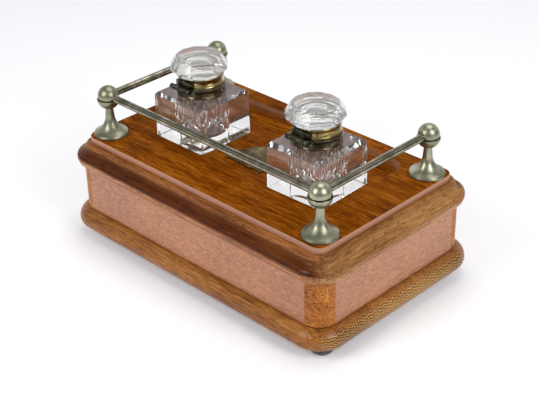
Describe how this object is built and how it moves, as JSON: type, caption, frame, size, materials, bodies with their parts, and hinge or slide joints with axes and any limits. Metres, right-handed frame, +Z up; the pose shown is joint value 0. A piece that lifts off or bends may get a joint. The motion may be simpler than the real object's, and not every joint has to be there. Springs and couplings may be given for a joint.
{
  "type": "desk inkstand",
  "caption": "Wooden desk inkstand on bun feet with a pen tray, hinged-lid glass inkwells, a drawer and a low metal gallery rail.",
  "frame": {"origin": "under the middle of the box, at the height of the surface that the feet stand on", "axes": "+X along the box, +Y towards the back with the gallery rail, +Z up"},
  "size_m": [0.3128, 0.1974, 0.1715],
  "materials": {
    "mahogany": "french polished",
    "dark_wood": "satin black stain",
    "drawer_wood": "plain, unpolished",
    "nickel": "worn nickel plate",
    "steel": "plain",
    "cut_glass": "polished, clear",
    "aged_brass": "aged, tarnished",
    "plaster": "matt plaster"
  },
  "bodies": {
    "case": {"base_board": "mahogany", "top_board": "mahogany", "wall_rear": "mahogany", "wall_left": "mahogany", "wall_right": "mahogany", "corner_post_front_left": "mahogany", "foot_front_left": "dark_wood", "gallery_post_front_left": "nickel", "gallery_ball_front_left": "nickel", "corner_post_front_right": "mahogany", "foot_front_right": "dark_wood", "gallery_post_front_right": "nickel", "gallery_ball_front_right": "nickel", "corner_post_rear_left": "mahogany", "foot_rear_left": "dark_wood", "gallery_post_rear_left": "nickel", "gallery_ball_rear_left": "nickel", "corner_post_rear_right": "mahogany", "foot_rear_right": "dark_wood", "gallery_post_rear_right": "nickel", "gallery_ball_rear_right": "nickel", "moulding_front": "mahogany", "moulding_rear": "mahogany", "moulding_left": "mahogany", "moulding_right": "mahogany", "rail_rear": "nickel", "rail_left": "nickel", "rail_right": "nickel", "plaque": "nickel", "plaque_pins": "steel", "post_nuts": "steel", "base_screws": "steel", "foot_screws": "steel", "top_screws": "steel", "drawer_guide_left": "drawer_wood", "drawer_guide_right": "drawer_wood", "drawer_stops": "drawer_wood"},
    "well_left": {"inkwell_left": "cut_glass", "collar_left": "aged_brass", "collar_plaster_left": "plaster", "hinge_pin_left": "steel"},
    "well_right": {"inkwell_right": "cut_glass", "collar_right": "aged_brass", "collar_plaster_right": "plaster", "hinge_pin_right": "steel"},
    "lid_left": {"lid_ring_left": "aged_brass", "lid_glass_left": "cut_glass"},
    "lid_right": {"lid_ring_right": "aged_brass", "lid_glass_right": "cut_glass"},
    "drawer": {"drawer_front": "mahogany", "drawer_side_left": "drawer_wood", "drawer_side_right": "drawer_wood", "drawer_back": "drawer_wood", "drawer_bottom": "drawer_wood", "drawer_knob_left": "nickel", "drawer_knob_right": "nickel", "drawer_knob_screws": "steel"}
  },
  "joints": [
    {"name": "well_left_lift", "type": "slide", "parent": "case", "child": "well_left", "axis": [0, 0, 1], "range_m": [0, 0.06]},
    {"name": "well_right_lift", "type": "slide", "parent": "case", "child": "well_right", "axis": [0, 0, 1], "range_m": [0, 0.06]},
    {"name": "lid_left_hinge", "type": "hinge", "parent": "well_left", "child": "lid_left", "pos_m": [-0.07092, 0.03399, 0.14815], "axis": [-0.9996, -0.0279, 0], "range_deg": [0, 105]},
    {"name": "lid_right_hinge", "type": "hinge", "parent": "well_right", "child": "lid_right", "pos_m": [0.06545, 0.034, 0.14815], "axis": [-1, 0, 0], "range_deg": [0, 105]},
    {"name": "drawer_slide", "type": "slide", "parent": "case", "child": "drawer", "axis": [0, -1, 0], "range_m": [0, 0.1]}
  ]
}
